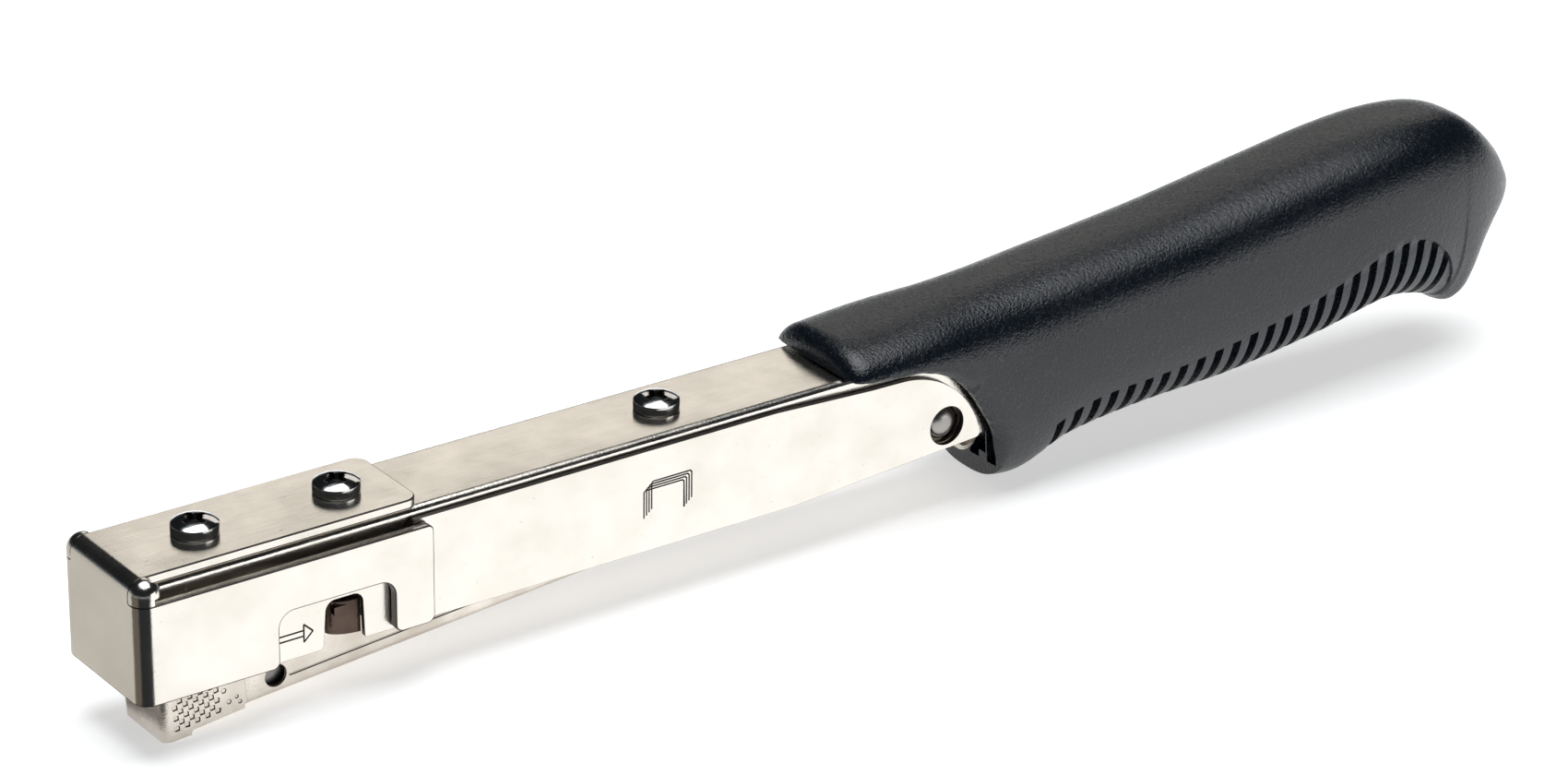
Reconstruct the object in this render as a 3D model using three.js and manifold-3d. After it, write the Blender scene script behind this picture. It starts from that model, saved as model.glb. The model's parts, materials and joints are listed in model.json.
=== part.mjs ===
// Hammer tacker: a folded steel head and arm with a moulded grip. The staple
// magazine hangs on a pivot in the grip and swings up into the head when the
// nose strikes, so that the fixed blade drives a staple.
// Millimetres. +X runs from the head to the grip's end, +Z is up, Y = 0 is the
// plane of symmetry. While modelling, X = 0 is the head's front face and Z = 0
// the arm's top; the last lines move the origin to the base of the whole tool.
import * as THREE from 'three';
import { mergeVertices } from 'three/addons/utils/BufferGeometryUtils.js';
import Module from 'manifold-3d';

const wasm = await Module();
wasm.setup();

// ---- driving dimensions ----
const ARM = {
  half: 9.35, wall: 2, bend: 1.2, front: 4, rear: 236, depth: 17.5, shallow: 6, deepFrom: 142, slope: 7,
};
const HEAD = { half: 12.5, sheet: 1.6, bend: 2.7, length: 54.6, top: 1.7, sideTop: -2.1, bottom: -19.75 };
const HEAD_WINDOW = { left: 25.4, right: 47.1, top: -10.05, corner: 2.8, foot: 1.4 };
const CAP = { half: 9.35, length: 54, corner: 2.5 };
const PLATE = { outer: 10.6, thick: 0.95, front: 3.5, top: -1.4, bottom: -19.9, lobe: 18 };
const PIVOT = { x: 160.3, z: -13.4, pin: 3.2, bore: 3.5, plateHole: 3.55 };
const STOP_LUG = { x: 153.6, z: -12.4, radius: 1.8, window: 2.5 };
const SCREW = { head: 4, side: 1.8, dome: 1, shank: 1.9, hole: 2.2, recess: 1.4 };
const SCREW_X = { front: 17.6, rear: 43.9, arm: 106.6 };
const WINDOW = { left: 35.2, right: 42, top: -11.5 };
const RAIL = { x: 23, z: -28.66, tilt: 0.0813, half: 5.98, wall: 0.6, floor: 0.8, height: 8.5 };
const NOSE = { front: -16.1, rear: -0.6, half: 6.8, plate: 1.3, side: 0.7, top: 11 };
const RETURN_SPRING = { x: 76, radius: 3.2, wire: 0.45, turns: 4.5, top: -3.35, seat: -11.9 };
const RETAINER = { left: 66, right: 112, half: 5, bottom: -3.3 };
const DRIVER = { face: 8.6, rear: 24, half: 5.05, tip: -21.5, blockTop: -3.2, blockBottom: -7.9 };
const NUT = { half: 3.5, height: 3.2 };
const LATCH = { front: 36.9, rear: 42.4, top: -13.8, outer: 9.3, tab: 1.7 };
const LATCH_SPRING = { radius: 1, wire: 0.25, turns: 4, z: -14.7 };
const LATCH_STOP = { left: 52, right: 53.2, bottom: -16.2, top: -13.2 };
const CORE = { half: 4.5, wall: 0.8, bottom: 1.2, top: 6.6, rear: 126 };
const PUSHER = { length: 14, outer: 5.15, inner: 4.72, bottom: 1.3, roof: 6.85, top: 7.6 };
const PUSHER_SPRING = { radius: 1.75, wire: 0.3, turns: 9, length: 88, z: 3.4 };
const RAIL_EYE = { x: 146, z: -3.1, radius: 2.5, wall: 0.9, half: 5.2, strip: 112 };
const GRIP = {
  front: 139, rear: 295.5, mouth: 171.5, clearance: 0.3, wall: 3.2, inside: 10.95, roundFrom: 268,
};
// Upper and lower edge of the grip's side view and its half-width, as [x, value].
const GRIP_TOP = [
  [139, 4.6], [165, 6.4], [190, 8.3], [215, 10.7], [240, 14.1], [258, 16.3], [272, 17],
  [282, 15], [289.2, 9.1], [293.5, 2.2], [295.5, -0.43],
];
const GRIP_BOTTOM = [
  [139, -12], [152, -12.5], [160, -17], [168, -26.5], [177, -29.4], [188, -25.4], [204, -23.4],
  [225, -22.6], [246, -20.4], [264, -17.7], [278, -20.8], [282, -22.3], [285, -15.2],
  [288, -9.8], [292.2, -5], [295.5, -0.45],
];
const GRIP_HALF = [
  [139, 13.2], [160, 13.9], [210, 14.8], [240, 15.3], [262, 15.4], [280, 13.6], [295.5, 12.3],
];
const GRIP_SECTION = { upper: 2.7, lower: 2.5 };
// The level where the grip is widest leaves the middle of its height and settles near the arm's.
const GRIP_LEVEL = { from: 262, to: 277, z: -0.45 };
const GROOVES = { count: 24, first: 183.5, last: 273, width: 1.7, depth: 1.3 };
// Where each groove ends on the grip's flank, as [x, z].
const GROOVE_TOP = [
  [180, -20], [190, -15.6], [211, -13.8], [238, -8.8], [259, -2.4], [267, -2.8], [274, -10],
];
const PLATE_INNER = PLATE.outer - PLATE.thick;
const CONTACT = 0.05;
// Wider than any part of the tool, for cuts that pass right through it.
const THROUGH = 20;

// ---- materials ----
const finish = (color, roughness, metalness) =>
  new THREE.MeshStandardMaterial({ color, roughness, metalness });
const nickel = () => finish(0xd8cfc2, 0.22, 1);
const polishedNickel = () => finish(0xe4dccf, 0.12, 1);
const steel = () => finish(0x8d8a86, 0.35, 1);
const springSteel = () => finish(0x6f6c69, 0.3, 1);
const latchSteel = () => finish(0x5a4d44, 0.35, 1);
const gripPlastic = () => finish(0x2a2b30, 0.6, 0);

// ---- solids ----
function signedVolume(positions, index) {
  const [a, b, c] = [new THREE.Vector3(), new THREE.Vector3(), new THREE.Vector3()];
  let volume = 0;
  for (let i = 0; i < index.length; i += 3) {
    a.fromBufferAttribute(positions, index[i]);
    b.fromBufferAttribute(positions, index[i + 1]);
    c.fromBufferAttribute(positions, index[i + 2]);
    volume += a.dot(b.cross(c)) / 6;
  }
  return volume;
}

// A closed three.js geometry as a manifold solid, turned right side out.
function solid(geometry) {
  const bare = geometry.clone();
  bare.deleteAttribute('normal');
  bare.deleteAttribute('uv');
  const merged = mergeVertices(bare, 1e-4);
  const triVerts = new Uint32Array(merged.index.array);
  if (signedVolume(merged.attributes.position, triVerts) < 0) triVerts.reverse();
  const vertProperties = new Float32Array(merged.attributes.position.array);
  return new wasm.Manifold(new wasm.Mesh({ numProp: 3, vertProperties, triVerts }));
}

function geometryOf(manifold) {
  const { vertProperties, triVerts } = manifold.getMesh();
  const geometry = new THREE.BufferGeometry();
  geometry.setAttribute('position', new THREE.BufferAttribute(vertProperties, 3));
  geometry.setIndex(new THREE.BufferAttribute(triVerts, 1));
  geometry.computeVertexNormals();
  return geometry;
}

const join = (...parts) => parts.reduce((whole, part) => whole.add(part));
const cut = (body, ...tools) => tools.reduce((rest, tool) => rest.subtract(tool), body);

function named(name, manifold, material) {
  const mesh = new THREE.Mesh(geometryOf(manifold), material);
  mesh.name = name;
  return mesh;
}

// A closed outline from corners [x, y, radius]; a radius rounds the corner.
function outline(corners) {
  const shape = new THREE.Shape();
  const count = corners.length;
  const point = (i) => new THREE.Vector2(...corners[(i + count) % count].slice(0, 2));
  for (let i = 0; i < count; i += 1) {
    const corner = point(i);
    const radius = corners[i][2] ?? 0;
    const back = point(i - 1).sub(corner).normalize();
    const ahead = point(i + 1).sub(corner).normalize();
    const half = back.angleTo(ahead) / 2;
    const reach = radius / Math.tan(half);
    const start = back.clone().multiplyScalar(reach).add(corner);
    const end = ahead.clone().multiplyScalar(reach).add(corner);
    if (i === 0) shape.moveTo(start.x, start.y);
    else shape.lineTo(start.x, start.y);
    if (radius === 0) continue;
    const middle = back.clone().add(ahead).normalize().multiplyScalar(radius / Math.sin(half)).add(corner);
    const [from, to] = [start.sub(middle).angle(), end.sub(middle).angle()];
    shape.absarc(middle.x, middle.y, radius, from, to, back.cross(ahead) > 0);
  }
  return shape;
}

const extrude = (shape, depth, curveSegments) =>
  new THREE.ExtrudeGeometry(shape, { depth, bevelEnabled: false, curveSegments });

// An X-Z outline that fills Y from y0 to y1.
function slab(corners, y0, y1, curveSegments = 4) {
  const geometry = extrude(outline(corners), y1 - y0, curveSegments);
  return solid(geometry.rotateX(Math.PI / 2).translate(0, y1, 0));
}

// An X-Y outline that fills Z from z0 to z1.
function layer(corners, z0, z1, curveSegments = 4) {
  return solid(extrude(outline(corners), z1 - z0, curveSegments).translate(0, 0, z0));
}

// A Y-Z outline that fills X from x0 to x1.
function beam(corners, x0, x1, curveSegments = 3) {
  const alongX = new THREE.Matrix4().makeBasis(
    new THREE.Vector3(0, 1, 0), new THREE.Vector3(0, 0, 1), new THREE.Vector3(1, 0, 0));
  return solid(extrude(outline(corners), x1 - x0, curveSegments).applyMatrix4(alongX).translate(x0, 0, 0));
}

function block(x0, x1, y0, y1, z0, z1) {
  const box = new THREE.BoxGeometry(x1 - x0, y1 - y0, z1 - z0);
  return solid(box.translate((x0 + x1) / 2, (y0 + y1) / 2, (z0 + z1) / 2));
}

function rodY(x, z, radius, y0, y1, sides = 20) {
  const rod = new THREE.CylinderGeometry(radius, radius, y1 - y0, sides);
  return solid(rod.translate(x, (y0 + y1) / 2, z));
}

function rodZ(x, y, radius, z0, z1, sides = 16) {
  const rod = new THREE.CylinderGeometry(radius, radius, z1 - z0, sides).rotateX(Math.PI / 2);
  return solid(rod.translate(x, y, (z0 + z1) / 2));
}

function rodX(y, z, radius, x0, x1, sides = 12) {
  const rod = new THREE.CylinderGeometry(radius, radius, x1 - x0, sides).rotateZ(Math.PI / 2);
  return solid(rod.translate((x0 + x1) / 2, y, z));
}

const mirrorY = (manifold) => solid(geometryOf(manifold).scale(1, -1, 1));

// A coil spring's wire, wound about +Z from z0 to z1 round (x, y).
class Helix extends THREE.Curve {
  constructor(radius, turns, z0, z1) {
    super();
    Object.assign(this, { radius, turns, z0, z1 });
  }

  getPoint(t, target = new THREE.Vector3()) {
    const angle = 2 * Math.PI * this.turns * t;
    const z = this.z0 + (this.z1 - this.z0) * t;
    return target.set(this.radius * Math.cos(angle), this.radius * Math.sin(angle), z);
  }
}

function coil(radius, wire, turns, length) {
  const section = new THREE.Shape();
  section.absarc(0, 0, wire, 0, 2 * Math.PI, false);
  return new THREE.ExtrudeGeometry(section, {
    steps: Math.round(turns * 9),
    curveSegments: 3,
    extrudePath: new Helix(radius, turns, wire, length - wire),
  });
}

// ---- head and arm ----
function armChannel() {
  const { half, wall, bend, front, rear, depth, shallow } = ARM;
  const inner = half - wall;
  const section = [
    [-half, -depth], [-inner, -depth], [-inner, -wall, 0.6], [inner, -wall, 0.6],
    [inner, -depth], [half, -depth], [half, 0, bend], [-half, 0, bend],
  ];
  const below = -2 * depth;
  const headRelief = slab([
    [0, -shallow], [ARM.deepFrom, -shallow, 3], [ARM.deepFrom + ARM.slope, below], [0, below],
  ], -THROUGH, THROUGH);
  const screwHoles = Object.values(SCREW_X).map((x) => rodZ(x, 0, SCREW.hole, -wall - 1, 1));
  return cut(
    beam(section, front, rear),
    headRelief,
    ...screwHoles,
    rodY(PIVOT.x, PIVOT.z, PIVOT.bore, -THROUGH, THROUGH),
    rodY(STOP_LUG.x, STOP_LUG.z, STOP_LUG.window, -THROUGH, THROUGH, 14),
  );
}

function headShroud() {
  const { half, sheet, bend, length, top, sideTop, bottom } = HEAD;
  const wrap = layer([
    [length, half], [0, half, bend], [0, -half, bend], [length, -half],
    [length, sheet - half], [sheet, sheet - half, bend - sheet],
    [sheet, half - sheet, bend - sheet], [length, half - sheet],
  ], bottom, sideTop);
  const { left, right, corner, foot } = HEAD_WINDOW;
  // One flank's outline: two legs with rounded feet either side of the window.
  const flank = slab([
    [-1, bottom], [left, bottom, foot], [left, HEAD_WINDOW.top, corner], [right, HEAD_WINDOW.top, corner],
    [right, bottom, foot], [length, bottom, foot], [length, sideTop, 1], [-1, sideTop],
  ], -THROUGH, THROUGH);
  const capFoot = sideTop - 2;
  const cap = slab([
    [0, capFoot], [0, top, bend], [CAP.length, top], [CAP.length, top - sheet],
    [sheet, top - sheet, bend - sheet], [sheet, capFoot],
  ], -CAP.half, CAP.half);
  const capPlan = layer([
    [-1, -CAP.half], [CAP.length, -CAP.half, CAP.corner], [CAP.length, CAP.half, CAP.corner], [-1, CAP.half],
  ], capFoot - 1, top + 1);
  const screwHoles = [SCREW_X.front, SCREW_X.rear].map((x) => rodZ(x, 0, SCREW.hole, -1, top + 1));
  const corners = [-1, 1].map(pressedCorner);
  return cut(join(wrap.intersect(flank), cap.intersect(capPlan), ...corners), ...screwHoles);
}

// The rounded corner where the cap's front bend meets a flank, open to the plate behind it.
function pressedCorner(side) {
  const { half, sheet, bend, top, sideTop } = HEAD;
  const [y, z] = [side * (half - bend), top - bend];
  const [low, high] = [side * (CAP.half - 0.1), y].sort((a, b) => a - b);
  const ball = solid(new THREE.SphereGeometry(bend, 20, 14).translate(bend, y, z));
  const inner = half - sheet;
  const rear = 3 * bend;
  return cut(
    join(ball, rodZ(bend, y, bend, sideTop - 0.1, z, 20), rodY(bend, z, bend, low, high, 20)),
    block(-1, rear, -THROUGH, THROUGH, -2 * bend, sideTop - 0.1),
    block(sheet, rear, -inner, inner, -2 * bend, top - sheet),
    block(PLATE.front - 0.3, rear, -inner, inner, -2 * bend, top + 1),
  );
}

// Pan-head screw with a cross recess, the underside of its head at seat.
function screw(x, seat, length) {
  const { head, side, dome, shank, recess } = SCREW;
  const crown = (head * head + dome * dome) / (2 * dome);
  const profile = [new THREE.Vector2(0, -length), new THREE.Vector2(shank, -length)];
  profile.push(new THREE.Vector2(shank, 0), new THREE.Vector2(head, 0));
  const crownRings = 3;
  for (let i = 0; i <= crownRings; i += 1) {
    const r = head * (1 - i / crownRings);
    profile.push(new THREE.Vector2(r, side + dome - crown + Math.sqrt(crown * crown - r * r)));
  }
  const body = solid(new THREE.LatheGeometry(profile, 16).rotateX(Math.PI / 2).translate(x, 0, seat));
  const crownTop = seat + side + dome;
  const bar = (dx, dy) => block(x - dx, x + dx, -dy, dy, crownTop - recess, crownTop + 1);
  const [reach, narrow] = [2.3, 0.55];
  return cut(body, bar(reach, narrow), bar(narrow, reach));
}

function squareNut(x, top) {
  const { half, height } = NUT;
  const body = block(x - half, x + half, -half, half, top - height, top);
  return cut(body, rodZ(x, 0, SCREW.hole, top - height - 1, top + 1));
}

function driverBlock() {
  const { blockTop, blockBottom } = DRIVER;
  const body = block(13, 25, -6.5, 6.5, blockBottom, blockTop);
  return cut(body, rodZ(SCREW_X.front, 0, SCREW.hole, blockBottom - 1, blockTop + 1));
}

// Blade with a foot that the block clamps under the arm.
function driverBlade() {
  const { face, rear, half, tip } = DRIVER;
  const [back, top] = [face + 0.9, -ARM.wall - 0.1];
  const underside = top - 1;
  const side = [
    [face, tip], [back, tip], [back, underside, 0.6], [rear, underside], [rear, top], [face, top, 1.4],
  ];
  return cut(slab(side, -half, half), rodZ(SCREW_X.front, 0, SCREW.hole, underside - 1, top + 1));
}

function springRetainer() {
  const { left, right, half, bottom } = RETAINER;
  const plan = [[left, -half, 2], [right, -half, 2], [right, half, 2], [left, half, 2]];
  const strip = layer(plan, bottom, -ARM.wall - 0.1);
  const spigot = rodZ(RETURN_SPRING.x, 0, 1.8, bottom - 1.7, bottom + 0.7);
  return cut(join(strip, spigot), rodZ(SCREW_X.arm, 0, SCREW.hole, bottom - 1, 0));
}

function returnSpring() {
  const { x, radius, wire, turns, top, seat } = RETURN_SPRING;
  const length = top - seat - 2 * CONTACT;
  return solid(coil(radius, wire, turns, length).translate(x, 0, seat + CONTACT));
}

// Domed ends show in the side plates' holes.
function pivotPin() {
  const reach = PLATE.outer - 0.3;
  const profile = [[0, -reach], [1.6, -reach + 0.3], [2.7, -reach + 1], [PIVOT.pin, -reach + 2]];
  const ends = profile.map(([r, y]) => [r, -y]).reverse();
  const points = [...profile, ...ends].map(([r, y]) => new THREE.Vector2(r, y));
  return solid(new THREE.LatheGeometry(points, 20).translate(PIVOT.x, 0, PIVOT.z));
}

function pivotSleeve() {
  const half = RAIL.half - RAIL.wall - 0.4;
  return cut(
    rodY(PIVOT.x, PIVOT.z, 4.2, -half, half),
    rodY(PIVOT.x, PIVOT.z, PIVOT.bore, -half - 1, half + 1),
  );
}

// ---- grip ----
// Smooth curve through points [x, value] by cubic Hermite pieces.
function smooth(points, x) {
  const last = points.length - 1;
  let i = 0;
  while (i < last - 1 && x > points[i + 1][0]) i += 1;
  const slope = (k) => {
    const [a, b] = [points[Math.max(k - 1, 0)], points[Math.min(k + 1, last)]];
    return (b[1] - a[1]) / (b[0] - a[0]);
  };
  const [[x0, y0], [x1, y1]] = [points[i], points[i + 1]];
  const h = x1 - x0;
  const t = THREE.MathUtils.clamp((x - x0) / h, 0, 1);
  const rise = y0 + (y1 - y0) * t * t * (3 - 2 * t);
  return rise + t * (1 - t) * (1 - t) * h * slope(i) - t * t * (1 - t) * h * slope(i + 1);
}

// The half-width closes to nothing over the last stretch, in a blunt curve.
function gripHalf(x) {
  const t = THREE.MathUtils.clamp((x - GRIP.roundFrom) / (GRIP.rear - GRIP.roundFrom), 0, 1);
  return smooth(GRIP_HALF, x) * (1 - t ** 2.8) ** (1 / 2.4);
}

// A loft of super-elliptic sections, shrunk inward by inset.
function gripLoft(stations, sides, inset) {
  const positions = [];
  const middles = [];
  for (const x of stations) {
    const top = smooth(GRIP_TOP, x) - inset;
    const bottom = smooth(GRIP_BOTTOM, x) + inset;
    const half = Math.max(gripHalf(x) - inset, 0.4);
    const settled = THREE.MathUtils.smoothstep(x, GRIP_LEVEL.from, GRIP_LEVEL.to);
    const level = THREE.MathUtils.lerp((top + bottom) / 2, GRIP_LEVEL.z, settled);
    middles.push([x, 0, level]);
    for (let k = 0; k < sides; k += 1) {
      const angle = (2 * Math.PI * k) / sides;
      const [c, s] = [Math.cos(angle), Math.sin(angle)];
      const power = 2 / (s > 0 ? GRIP_SECTION.upper : GRIP_SECTION.lower);
      const y = half * Math.sign(c) * Math.abs(c) ** power;
      const rise = s > 0 ? top - level : level - bottom;
      const z = level + rise * Math.sign(s) * Math.abs(s) ** power;
      positions.push(x, y, z);
    }
  }
  const index = [];
  for (let i = 0; i < stations.length - 1; i += 1) {
    for (let k = 0; k < sides; k += 1) {
      const [a, b] = [i * sides + k, i * sides + ((k + 1) % sides)];
      index.push(a, b, a + sides, b, b + sides, a + sides);
    }
  }
  for (const [end, flip] of [[0, true], [stations.length - 1, false]]) {
    const centre = positions.length / 3;
    positions.push(...middles[end]);
    for (let k = 0; k < sides; k += 1) {
      const [a, b] = [end * sides + k, end * sides + ((k + 1) % sides)];
      index.push(centre, ...(flip ? [b, a] : [a, b]));
    }
  }
  const geometry = new THREE.BufferGeometry();
  geometry.setAttribute('position', new THREE.Float32BufferAttribute(positions, 3));
  geometry.setIndex(index);
  return solid(geometry);
}

function stationsBetween(from, to, count) {
  return Array.from({ length: count + 1 }, (_, i) => from + ((to - from) * i) / count);
}

// Grooves across the underside, each rising up both flanks to the groove line.
function gripGrooves() {
  const { count, first, last, width, depth } = GROOVES;
  return stationsBetween(first, last, count - 1).map((x) => {
    const top = smooth(GROOVE_TOP, x);
    const band = block(x - width / 2, x + width / 2, -20, 20, -40, top);
    const core = gripLoft([x - width, x + width], 16, depth);
    return band.subtract(core);
  });
}

function grip() {
  const { front, rear, mouth, clearance, wall, inside } = GRIP;
  const rearStations = [278, 280, 282, 283.5, 285, 288, 290.5, 293, 294.8, rear];
  const body = gripLoft([...stationsBetween(front, 275, 16), ...rearStations], 24, 0);
  const hollow = gripLoft(stationsBetween(mouth + 8, rear - 16, 7), 12, wall);
  const armSlot = block(
    front - 5, ARM.rear + clearance, -PLATE_INNER, PLATE_INNER, -ARM.depth - clearance, clearance);
  const [ahead, roof, below] = [front - 9, clearance + 0.15, -40];
  const throat = slab([
    [ahead, roof], [160, -0.6, 20], [mouth + 1.7, -21.6, 12], [mouth - 5, -30], [ahead, below],
  ], -THROUGH, THROUGH, 6);
  const lobeRoom = slab([
    [ahead, roof], [160, roof, 6], [172, -12, 8], [174, below], [ahead, below],
  ], -inside, inside, 5);
  const eyeRoom = block(165, mouth + 4, -5.8, 5.8, -24, -8);
  const slotHalf = 1.5;
  const ribSlots = [-7.2, -2.4, 2.4, 7.2].map((y) =>
    block(mouth - 1.5, mouth + 9, y - slotHalf, y + slotHalf, -22, -15));
  return cut(body, hollow, armSlot, throat, lobeRoom, eyeRoom, ...ribSlots, ...gripGrooves());
}

// ---- magazine housing ----
function sidePlate(side) {
  const { front, top, bottom, outer } = PLATE;
  const { left, right, top: windowTop } = WINDOW;
  const sheet = slab([
    [front, bottom, 1], [left - 0.7, bottom, 0.9], [left, windowTop, 1.8], [right, windowTop, 1.8],
    [right + 0.3, bottom, 0.4], [128, bottom - 0.1, 30], [167.9, -17.3, 1], [164.2, -2.8, PLATE.lobe],
    [144, -2.4, 20], [124, top, 20], [52, top, 1], [50, -5.2, 1], [front, -8, 1],
  ], PLATE_INNER, outer, 5);
  const lug = rodY(STOP_LUG.x, STOP_LUG.z, STOP_LUG.radius, PLATE_INNER - 1.2, PLATE_INNER + 0.3, 12);
  const plate = cut(join(sheet, lug), rodY(PIVOT.x, PIVOT.z, PIVOT.plateHole, 5, 15, 24));
  return side > 0 ? plate : mirrorY(plate);
}

const PLATE_GAP = PLATE_INNER - CONTACT;

function frontSpacer() {
  return rodY(30, -15.9, 1.2, -PLATE_GAP, PLATE_GAP, 12);
}

function springSeat() {
  const { x, seat } = RETURN_SPRING;
  return block(x - 6, x + 6, -PLATE_GAP, PLATE_GAP, seat - 1.2, seat);
}

function latchStop() {
  const { left, right, bottom, top } = LATCH_STOP;
  return block(left, right, -PLATE_GAP, PLATE_GAP, bottom, top);
}

function latchSpring() {
  const { radius, wire, turns, z } = LATCH_SPRING;
  const clearance = 0.2;
  const length = LATCH_STOP.left - LATCH.rear - 2 * clearance;
  const spring = coil(radius, wire, turns, length).rotateY(Math.PI / 2);
  return solid(spring.translate(LATCH.rear + clearance, 0, z));
}

function latchHook() {
  const { front, rear, top, outer, tab } = LATCH;
  const bridge = block(front + 0.6, rear, -outer, outer, top - 1.5, top);
  const hook = slab([
    [front, top, 1], [rear, top, 1], [rear, -19.4, 0.6], [front + 1.2, -18.4, 0.6],
  ], outer - tab, outer);
  return join(bridge, hook, mirrorY(hook));
}

// ---- staple rail, drawn along its own floor: X = 0 at the nose's rear, Z = 0 its underside ----
const RAIL_PIVOT = (() => {
  const [dx, dz] = [PIVOT.x - RAIL.x, PIVOT.z - RAIL.z];
  const [c, s] = [Math.cos(RAIL.tilt), Math.sin(RAIL.tilt)];
  return { x: dx * c + dz * s, z: dz * c - dx * s };
})();
const BLADE_PATH_REAR = -12.4;

function magazineChannel() {
  const { half, wall, floor, height } = RAIL;
  const ear = 5.2;
  const sides = [-1, 1].map((side) => {
    const [y0, y1] = side > 0 ? [half - wall, half] : [-half, wall - half];
    const strip = slab([
      [NOSE.front + NOSE.plate + 0.15, 0], [RAIL_PIVOT.x, -1.1, 0], [RAIL_PIVOT.x, RAIL_PIVOT.z + ear],
      [RAIL_PIVOT.x - 12, height, 4], [NOSE.front + NOSE.plate + 0.15, height, 1],
    ], y0, y1);
    return join(strip, rodY(RAIL_PIVOT.x, RAIL_PIVOT.z, ear, y0, y1, 24));
  });
  const base = block(BLADE_PATH_REAR, RAIL_PIVOT.x - 6, -half + 0.1, half - 0.1, 0, floor);
  return cut(
    join(...sides, base),
    rodY(RAIL_PIVOT.x, RAIL_PIVOT.z, PIVOT.bore, -THROUGH, THROUGH),
    rodY(5.45, 3.5, 1.95, -THROUGH, THROUGH),
  );
}

function nosePlate() {
  const { front, rear, half, plate, side, top } = NOSE;
  const wrap = layer([
    [rear, half], [front, half, 1.6], [front, -half, 1.6], [rear, -half],
    [rear, side - half], [front + plate, side - half], [front + plate, half - side], [rear, half - side],
  ], -0.75, top);
  const heel = slab([
    [-11.5, -2], [-11, 0.05, 0.5], [rear - 0.6, 0.35], [rear + 0.1, 1.2], [rear + 1, -2],
  ], -THROUGH, THROUGH);
  return cut(wrap, heel);
}

function stapleCore() {
  const { half, wall, bottom, top, rear } = CORE;
  const [inner, roof] = [half - wall, top - wall];
  const section = [
    [-half, bottom], [-inner, bottom], [-inner, roof], [inner, roof],
    [inner, bottom], [half, bottom], [half, top, wall], [-half, top, wall],
  ];
  const slot = block(-10, 76, -1.1, 1.1, roof - 1, top + 1);
  return cut(beam(section, BLADE_PATH_REAR, rear), slot);
}

function pusherRod() {
  const { z } = PUSHER_SPRING;
  const tail = block(CORE.rear - 2, CORE.rear - 0.8, -3.5, 3.5, z - 1.8, z + 2.2);
  return join(rodX(0, z, 0.8, BLADE_PATH_REAR + 0.2, CORE.rear - 1.5), tail);
}

const PUSHER_FRONT = BLADE_PATH_REAR + 0.1;

function pusherSpring() {
  const { radius, wire, turns, length, z } = PUSHER_SPRING;
  const spring = coil(radius, wire, turns, length).rotateY(Math.PI / 2);
  return solid(spring.translate(PUSHER_FRONT + 5.6, 0, z));
}

function pusher() {
  const { length, outer, inner, bottom, roof, top } = PUSHER;
  const front = PUSHER_FRONT;
  const saddle = beam([
    [-outer, bottom], [-inner, bottom], [-inner, roof], [inner, roof], [inner, bottom], [outer, bottom],
    [outer, top, 0.4], [-outer, top, 0.4],
  ], front, front + length);
  const tongue = block(front + 4, front + 5.2, -0.8, 0.8, 4.5, 7);
  return join(saddle, tongue);
}

// Strip under the rear of the floor, its end rolled into an eye.
function railEndEye() {
  const { x, z, radius, wall, half } = RAIL_EYE;
  const strip = slab([
    [RAIL_EYE.strip, -0.9], [x, z + radius - wall], [x, z + radius], [RAIL_EYE.strip, -0.1],
  ], -half, half);
  const bore = rodY(x, z, radius - wall, -half - 1, half + 1, 14);
  const roll = cut(rodY(x, z, radius, -half, half, 18), bore);
  const opening = block(x - 4, x, -half - 1, half + 1, z - 0.6, z + 0.4);
  return cut(join(strip, roll), opening);
}

// ---- assembly ----
const rail = new THREE.Group();
rail.position.set(RAIL.x, 0, RAIL.z);
rail.rotation.y = -RAIL.tilt;
rail.add(
  named('magazine_channel', magazineChannel(), nickel()),
  named('nose_plate', nosePlate(), nickel()),
  named('staple_core', stapleCore(), steel()),
  named('pusher_rod', pusherRod(), steel()),
  named('pusher_spring', pusherSpring(), springSteel()),
  named('rail_end_eye', railEndEye(), nickel()),
  named('pusher', pusher(), steel()),
);

const tool = new THREE.Group();
tool.add(
  named('grip', grip(), gripPlastic()),
  named('arm_channel', armChannel(), nickel()),
  named('head_shroud', headShroud(), nickel()),
  named('shroud_screw_front', screw(SCREW_X.front, HEAD.top + CONTACT, 9), polishedNickel()),
  named('shroud_screw_rear', screw(SCREW_X.rear, HEAD.top + CONTACT, 7), polishedNickel()),
  named('arm_screw', screw(SCREW_X.arm, CONTACT, 6.5), polishedNickel()),
  named('driver_block', driverBlock(), steel()),
  named('driver_blade', driverBlade(), springSteel()),
  named('shroud_nut', squareNut(SCREW_X.rear, -ARM.wall - CONTACT), steel()),
  named('arm_nut', squareNut(SCREW_X.arm, -3.3 - CONTACT), steel()),
  named('spring_retainer', springRetainer(), steel()),
  named('return_spring', returnSpring(), springSteel()),
  named('pivot_pin', pivotPin(), polishedNickel()),
  named('pivot_sleeve', pivotSleeve(), steel()),
  named('left_side_plate', sidePlate(-1), nickel()),
  named('right_side_plate', sidePlate(1), nickel()),
  named('front_spacer', frontSpacer(), steel()),
  named('spring_seat', springSeat(), steel()),
  named('latch_stop', latchStop(), steel()),
  named('latch_spring', latchSpring(), springSteel()),
  named('latch_hook', latchHook(), latchSteel()),
  rail,
);

// The origin is the middle of the base of the whole tool's bounding box.
const group = new THREE.Group();
group.add(tool);
const bounds = new THREE.Box3().setFromObject(tool, true);
const middle = bounds.getCenter(new THREE.Vector3());
tool.position.set(-middle.x, 0, -bounds.min.z);

export default group;
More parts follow.
